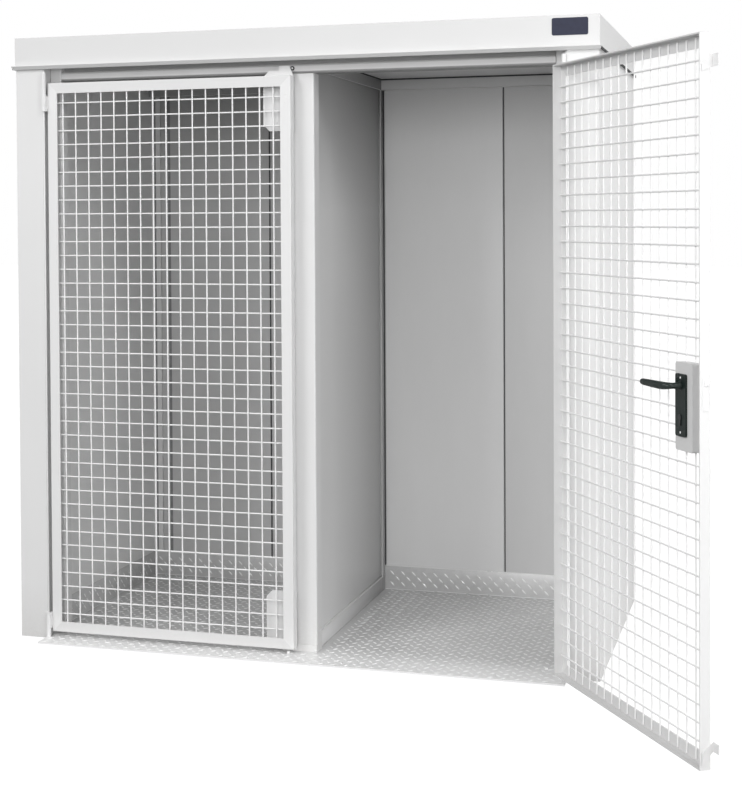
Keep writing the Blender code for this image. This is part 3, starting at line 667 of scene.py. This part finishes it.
def wallStrips():  # seams of the left rear corner, the dark joints of the panels, and painted shade in the corners at the stile and the ceiling
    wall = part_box("back_panel_1")[0].y
    stile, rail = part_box("partition_rear_stile"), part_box("partition_top_rail")
    lines, proud, lap = wallLines, wallLines["proud"], wallLines["lap"]
    behind = wall + lines["sunk"]
    bottom, top = kickShape["top"] + lines["above"], rail[0].z
    seams, gaps = bmesh.new(), bmesh.new()
    for bm, spans in ((seams, lines["seams"]), (gaps, lines["gaps"])):
        for start, end in spans:
            block(bm, (start, wall - proud, bottom), (end, behind, top))
    for way in (-1, 1):
        start, end = mirroredSpan(way, stile[1].x - lap, stile[1].x + lines["stileWide"])
        block(gaps, (start, wall - lines["stileProud"], bottom), (end, behind, top))
        start, end = mirroredSpan(way, rail[1].x - lap, rail[1].x + lines["ceilingWide"])
        block(gaps, (start, rail[0].y, rail[1].z - lines["ceilingDeep"]),
              (end, rail[1].y - lines["ceilingEnd"], rail[1].z + proud))
    for side in sides:
        low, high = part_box(f"{side}_rear_top_rail")
        block(gaps, (low.x, low.y - lines["ceilingWide"], high.z - lines["rearDeep"]),
              (high.x, low.y + lines["sunk"], high.z + proud))
    keep("cornerSeams", seams, "seam", "container")
    keep("panelGapsAndShadows", gaps, "gapAndShadow", "container")


# painted shadow under the lid's side bands
paintedLidShadow = {"wide": 0.006, "in": 0.010, "bottom": 0.0002, "top": 0.0085}


def paintedLidShadows():  # painted shadow: dark strips under the lid's side bands, where only the shade under the band falls
    low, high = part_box("roof_lid")
    front, rear = low.y + paintedLidShadow["in"], high.y - paintedLidShadow["in"]
    bm = bmesh.new()
    for way in (-1, 1):
        start, end = mirroredSpan(way, high.x - paintedLidShadow["wide"], high.x)
        block(bm, (start, front, low.z + paintedLidShadow["bottom"]), (end, rear, low.z + paintedLidShadow["top"]))
    keep("paintedLidShadows", bm, "gapAndShadow", "container")


postReturns()
partitionTrim()
kickBeads()
wallStrips()
paintedLidShadows()

fittings = {
    "floorBolts": [(0.8634, -0.4697), (-0.8634, -0.4697)],
    "stopStud": (-0.029, -0.527),
    "stopUp": 0.005,
    "bolt": (0.0065, 0.006),  # domes: radius, height
    "headerStud": (0.0040, 0.0045),
    # the dark disc round the header stud is painted shadow
    "headerStudShadow": (0.0080, 0.0032),
    "footWeld": (0.0055, 0.004),
    "headerSpot": (-0.0150, 2.0405),
    "studProud": 0.002,
    "footIn": 0.004,
    "footUp": 0.008,
}
plateHole = {"spot": (0.8638, 1.8506), "proud": 0.0006, "sunk": 0.0010, "radius": 0.0034}


def smallFittings():
    forward = (0, -1, 0)
    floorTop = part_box("floor_plate")[1].z
    bm = bmesh.new()
    for x, y in fittings["floorBolts"]:
        dome(bm, (x, y, floorTop), *fittings["bolt"])
    x, y = fittings["stopStud"]
    dome(bm, (x, y, floorTop + fittings["stopUp"]), *fittings["bolt"])
    keep("floorBolts", bm, "hingePaint", "container")
    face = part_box("header")[0].y
    x, z = fittings["headerSpot"]
    bm = bmesh.new()
    dome(bm, (x, face - fittings["studProud"], z), *fittings["headerStud"], forward)
    keep("headerStud", bm, "hingePaint", "container")
    # a dark disc round the header stud: painted shadow
    bm = bmesh.new()
    dome(bm, (x, face, z), *fittings["headerStudShadow"], forward)
    keep("headerStudShadow", bm, "gapAndShadow", "container")
    low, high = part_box("mullion_foot")
    z = low.z + fittings["footUp"]
    bm = bmesh.new()
    for x in (high.x - fittings["footIn"], low.x + fittings["footIn"]):
        dome(bm, (x, low.y, z), *fittings["footWeld"], forward)
    keep("footWelds", bm, "hingePaint", "container")
    plate = leafBox("left_door_top_catch_plate", "left")[0].y
    start, end = plate - plateHole["proud"], plate + plateHole["sunk"]
    u, z = plateHole["spot"]
    bm = bmesh.new()
    rod(bm, (u, start, z), (u, end, z), plateHole["radius"], 16)
    hang(bm, "left")
    keep("plateHole", bm, "lockPaint", "left_door")


smallFittings()

mitreWeld = {"width": 0.0030, "proud": 0.0003, "start": 0.0025, "short": 0.0004}
stileWelds = {"spots": [(0.9065, 1.948, 0.0060, 0.0026), (0.910, 1.933, 0.0046, 0.0034),
                        (0.903, 1.921, 0.0040, 0.0020)],  # u, z, half width, half height
              "proud": 0.0007}
hingeWeld = {"pitch": 0.0022, "first": 0.004, "spare": 0.006, "back": 0.0015,
             "size": (0.0016, 0.0022, 0.0018)}


def weldDrop(bm, spot, size, around, rings):
    shape = Matrix.Translation(spot) @ Matrix.Diagonal((*size, 1))
    bmesh.ops.create_uvsphere(bm, u_segments=around, v_segments=rings, radius=1.0, matrix=shape)


def frameWelds(side):  # the ground welds over the mitres, and beads along the hinges
    low, high = leafBox(f"{side}_door_hinge_stile", side)
    freeEdge = leafBox(f"{side}_door_free_stile", side)[1].x
    stretch = (mitreWeld["start"], high.x - low.x - mitreWeld["short"])
    bm = bmesh.new()
    for u, z, wayU, wayZ in ((low.x, low.z, 1, 1), (low.x, high.z, 1, -1),
                             (freeEdge, low.z, -1, 1), (freeEdge, high.z, -1, -1)):
        first, last = (Vector((u + wayU * far, 0.0, z + wayZ * far)) for far in stretch)
        turn = Matrix.Rotation(-math.atan2(last.z - first.z, last.x - first.x), 4, "Y")
        size = ((last - first).length, 2 * mitreWeld["proud"], mitreWeld["width"], 1)
        shape = Matrix.Translation((first + last) / 2) @ turn @ Matrix.Diagonal(size)
        bmesh.ops.create_cube(bm, size=1.0, matrix=shape)
    if side == "left":
        for u, z, wide, tall in stileWelds["spots"]:
            weldDrop(bm, (u, 0.0, z), (wide, stileWelds["proud"], tall), 10, 6)
    for spot in ("top", "bottom"):
        low, high = leafBox(f"{side}_{spot}_hinge_door_half", side)
        for drop in range(int((high.z - low.z - hingeWeld["spare"]) / hingeWeld["pitch"])):
            z = low.z + hingeWeld["first"] + drop * hingeWeld["pitch"]
            weldDrop(bm, (0.0, hingeWeld["back"], z), hingeWeld["size"], 6, 5)
    hang(bm, side)
    keep(f"{side}FrameWelds", bm, "doorPaint", f"{side}_door")


for side in sides:
    frameWelds(side)

leverShape = {
    "stations": [  # u from the spindle, d from the plate, half thickness, half height
        (0.0000, 0.0008, 0.0098, 0.0098), (0.0000, 0.0060, 0.0102, 0.0102),
        (0.0000, 0.0080, 0.0086, 0.0086), (0.0000, 0.0240, 0.0084, 0.0086),
        (0.0015, 0.0330, 0.0086, 0.0092), (0.0065, 0.0410, 0.0090, 0.0102),
        (0.0150, 0.0460, 0.0088, 0.0110), (0.0280, 0.0480, 0.0082, 0.0112),
        (0.0500, 0.0482, 0.0078, 0.0110), (0.0800, 0.0478, 0.0076, 0.0104),
        (0.1080, 0.0474, 0.0074, 0.0098), (0.1240, 0.0472, 0.0072, 0.0092),
        (0.1310, 0.0471, 0.0062, 0.0078), (0.1345, 0.0471, 0.0040, 0.0050)],
    "segments": 20,
    "spindle": 0.005,
    "spindleOut": 0.0008,
    "sharp": 50.0,
}


def leverGrip(bm, spindle, plate, way):  # one lever, grown ring by ring along its stations
    stations = leverShape["stations"]
    spots = [Vector((spindle.x - u, plate + way * d, spindle.z)) for u, d, thick, tall in stations]
    upward = Vector((0, 0, 1))
    edges = None
    for place, (u, d, thick, tall) in enumerate(stations):
        before = spots[max(place - 1, 0)]
        after = spots[min(place + 1, len(spots) - 1)]
        along = (after - before).normalized()
        sideways = along.cross(upward).normalized()
        turn = Matrix((sideways, upward, along)).transposed().to_4x4()
        shape = Matrix.Translation(spots[place]) @ turn @ Matrix.Diagonal((thick, tall, 1, 1))
        if edges is None:
            made = bmesh.ops.create_circle(bm, cap_ends=True, segments=leverShape["segments"],
                                           radius=1.0)["verts"]
            edges = list({edge for vert in made for edge in vert.link_edges})
            bmesh.ops.transform(bm, matrix=shape, verts=made)
        else:
            grown = bmesh.ops.extrude_edge_only(bm, edges=edges)["geom"]
            made = [item for item in grown if isinstance(item, bmesh.types.BMVert)]
            edges = [item for item in grown if isinstance(item, bmesh.types.BMEdge)]
            bmesh.ops.transform(bm, matrix=shape @ last.inverted(), verts=made)
        last = shape
    bmesh.ops.holes_fill(bm, edges=edges, sides=0)


def leverPivot():
    return doorPlace["right"].inverted() @ Vector(joints["lever_turn"]["pos_m"])


def leverPiece():  # both levers on their spindle
    innerLow, innerHigh = leafBox("inner_handle_plate", "right")
    outerLow = leafBox("outer_handle_plate", "right")[0]
    middle, out = (innerLow.x + innerHigh.x) / 2, leverShape["spindleOut"]
    spindle = Vector((middle, 0, leverPivot().z))
    bm = bmesh.new()
    rod(bm, (middle, outerLow.y - out, spindle.z), (middle, innerHigh.y + out, spindle.z),
        leverShape["spindle"], 12)
    leverGrip(bm, spindle, innerHigh.y, 1)
    leverGrip(bm, spindle, outerLow.y, -1)
    bmesh.ops.recalc_face_normals(bm, faces=bm.faces)
    hang(bm, "right")
    keep("leverGrips", bm, "handle", "lever", ("lever_handle",), leverShape["sharp"])


leverPiece()

plateTrim = {"screw": 0.0036, "screwHigh": 0.0012, "screwIn": 0.011, "collar": 0.0125,
             "collarDeep": 0.0028, "collarSunk": 0.0004, "collarRound": 0.0005, "corner": 1.2}


def plateDetails():  # collars round the spindle and the screws of both handle plates
    pivot = leverPivot()
    screws, collars = bmesh.new(), bmesh.new()
    for node, way in (("inner_handle_plate", 1), ("outer_handle_plate", -1)):
        low, high = leafBox(node, "right")
        face = high.y if way > 0 else low.y
        middle = (low.x + high.x) / 2
        for z in (low.z + plateTrim["screwIn"], high.z - plateTrim["screwIn"]):
            dome(screws, (middle, face, z), plateTrim["screw"], plateTrim["screwHigh"], (0, way, 0))
        rod(collars, (middle, face - way * plateTrim["collarSunk"], pivot.z),
            (middle, face + way * plateTrim["collarDeep"], pivot.z), plateTrim["collar"], 28)
        rims = [edge for edge in collars.edges if edge.calc_face_angle(0) > plateTrim["corner"]]
        rounded(collars, rims, plateTrim["collarRound"], 2)
    for name, bm, finish in (("plateScrews", screws, "zinc"), ("leverCollars", collars, "handle")):
        hang(bm, "right")
        keep(name, bm, finish, "right_door")


plateDetails()

latchParts = {  # in from the door's edge and out from it, d and z spans, bevel, steps, finish
    "latchFace": (0.0002, 0.0012, (0.006, 0.026), (0.995, 1.095), 0.0004, 1, "doorPaint"),
    "latchTongue": (-0.0008, 0.0040, (0.006, 0.018), (1.062, 1.078), 0.0008, 2, "zinc"),
}


def latchPieces():  # the spring latch's face plate and tongue
    edge = leafBox("right_door_free_stile", "right")[1].x
    for name, (inner, outer, deep, tall, bevel, steps, finish) in latchParts.items():
        bm = bmesh.new()
        block(bm, (edge - inner, deep[0], tall[0]), (edge + outer, deep[1], tall[1]), bevel, steps)
        hang(bm, "right")
        keep(name, bm, finish, "right_door")


latchPieces()
print("fittings made")

studio = {
    "world": 0.5,
    "lamps": [  # where it stands, what it faces, width, height, watts
        ((-6.2, -10.2, 7.0), (0.0, -0.3, 1.0), 4.6, 4.6, 590.0),
        ((0.9, -7.4, 2.3), (0.2, 0.0, 1.0), 2.4, 2.4, 132.0),
        ((4.2, -4.0, 5.2), (0.6, 0.0, 1.0), 1.9, 1.9, 95.0),
        ((5.5, -0.8, 2.0), (1.05, 0.0, 1.0), 3.0, 3.0, 72.0),
        ((3.4, -3.2, 1.2), (1.0, -0.5, 1.0), 1.2, 1.8, 22.0),
    ],
    "floor": {"tone": 0.10, "rough": 0.9, "seen": 0.95, "half": 40.0, "drop": 0.001},
}


def seenBy(tree, *rays):  # 1 for these kinds of ray, 0 for the rest
    path = tree.nodes.new("ShaderNodeLightPath")
    first, *others = [Signal(tree, path.outputs[f"Is {ray} Ray"]) for ray in rays]
    for other in others:
        first = first.maths("MAXIMUM", first, other)
    return first


def lightStudio():
    world = bpy.data.worlds.new("studio")
    bpy.context.scene.world = world
    world.use_nodes = True
    tree = world.node_tree
    tree.nodes.clear()
    seen = seenBy(tree, "Camera", "Glossy", "Transmission")
    strength = seen * (1.0 - studio["world"]) + studio["world"]
    light = seen.node("ShaderNodeBackground", None, {"Color": (1, 1, 1, 1), "Strength": strength})
    out = tree.nodes.new("ShaderNodeOutputWorld")
    tree.links.new(light.socket, out.inputs["Surface"])
    for place, (spot, target, width, height, watts) in enumerate(studio["lamps"]):
        lamp = bpy.data.lights.new(f"softbox{place + 1}", "AREA")
        lamp.shape = "RECTANGLE"
        lamp.size, lamp.size_y, lamp.energy = width, height, watts
        made = bpy.data.objects.new(lamp.name, lamp)
        bpy.context.scene.collection.objects.link(made)
        made.location = spot
        made.rotation_euler = (Vector(target) - Vector(spot)).to_track_quat("-Z", "Y").to_euler()
        made.visible_camera = False


def floorFinish(look):
    made = bpy.data.materials.new("studioFloor")
    made.use_nodes = True
    shader = made.node_tree.nodes["Principled BSDF"]
    shader.inputs["Base Color"].default_value = grey(look["tone"])
    shader.inputs["Roughness"].default_value = look["rough"]
    shader.inputs["Emission Color"].default_value = (1, 1, 1, 1)
    feed(shader, Emission_Strength=seenBy(made.node_tree, "Camera", "Glossy") * look["seen"])
    return made


def layFloor(look):
    bm = bmesh.new()
    bmesh.ops.create_grid(bm, x_segments=1, y_segments=1, size=look["half"])
    mesh = bpy.data.meshes.new("studioFloor")
    bm.to_mesh(mesh)
    bm.free()
    mesh.materials.append(floorFinish(look))
    made = bpy.data.objects.new("studioFloor", mesh)
    bpy.context.scene.collection.objects.link(made)
    made.location.z = -look["drop"]


lightStudio()
layFloor(studio["floor"])

lens = {"spot": (1.660, -5.573, 1.522), "yaw": 16.58, "down": 1.276, "roll": -0.327, "focal": 1538.1,
        "centre": (337.7, 251.7), "frame": (742, 800), "sensor": 36.0}


def aimCamera():
    data = bpy.data.cameras.new("camera")
    made = bpy.data.objects.new("camera", data)
    bpy.context.scene.collection.objects.link(made)
    wide, tall = lens["frame"]
    data.sensor_width = lens["sensor"]
    data.lens = lens["focal"] / tall * data.sensor_width
    data.shift_x = (wide / 2 - lens["centre"][0]) / tall
    data.shift_y = (lens["centre"][1] - tall / 2) / tall
    turn = (Matrix.Rotation(math.radians(lens["yaw"]), 4, "Z")
            @ Matrix.Rotation(math.radians(90 - lens["down"]), 4, "X")
            @ Matrix.Rotation(math.radians(lens["roll"]), 4, "Z"))
    made.matrix_world = Matrix.Translation(lens["spot"]) @ turn
    bpy.context.scene.camera = made


aimCamera()
bpy.context.scene.view_settings.view_transform = "Standard"
print("studio and camera set")
